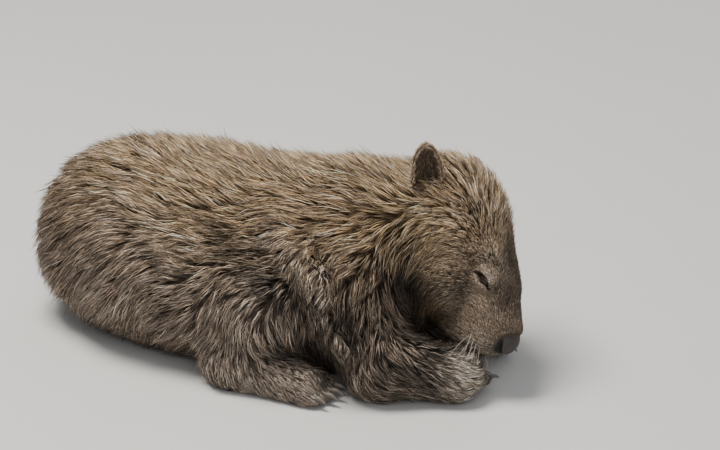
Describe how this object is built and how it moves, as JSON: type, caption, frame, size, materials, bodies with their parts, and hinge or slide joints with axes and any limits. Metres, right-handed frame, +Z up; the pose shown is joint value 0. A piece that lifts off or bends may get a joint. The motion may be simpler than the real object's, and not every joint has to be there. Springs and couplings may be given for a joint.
{
  "type": "bare-nosed wombat",
  "caption": "Adult bare-nosed wombat asleep in a crouch, head bowed over its folded forepaws, in a shaggy brown and frosted grey coat.",
  "frame": {"origin": "middle of the flat of the belly, on the floor that the animal lies on", "axes": "+X from the rump to the head, +Y to the animal's left side, +Z up"},
  "size_m": [0.6368, 0.3266, 0.294],
  "materials": {
    "coat": "coarse fur, golden brown on the back and grey with pale tips on the legs",
    "face": "short close fur",
    "bare_skin": "bare grained skin of the nose",
    "eye": "wet dark brown",
    "claw": "dull grey horn"
  },
  "bodies": {
    "root": {"tail": "coat", "hind_foot_right": "coat", "flank_fold_right": "coat", "thigh_right": "coat", "forepaw_right": "coat", "forearm_right": "coat", "upper_arm_right": "coat", "hind_foot_left": "coat", "flank_fold_left": "coat", "thigh_left": "coat", "forepaw_left": "coat", "forearm_left": "coat", "upper_arm_left": "coat", "head": "face", "neck": "coat", "shoulders": "coat", "trunk": "coat", "rump": "coat", "ear_right": "face", "eye_right": "eye", "ear_left": "face", "eye_left": "eye", "nose_pad": "bare_skin", "claw_fore_right_1": "claw", "claw_fore_right_2": "claw", "claw_fore_right_3": "claw", "claw_fore_right_4": "claw", "claw_fore_right_5": "claw", "claw_hind_right_1": "claw", "claw_hind_right_2": "claw", "claw_hind_right_3": "claw", "claw_hind_right_4": "claw", "claw_fore_left_1": "claw", "claw_fore_left_2": "claw", "claw_fore_left_3": "claw", "claw_fore_left_4": "claw", "claw_fore_left_5": "claw", "claw_hind_left_1": "claw", "claw_hind_left_2": "claw", "claw_hind_left_3": "claw", "claw_hind_left_4": "claw"}
  },
  "joints": []
}
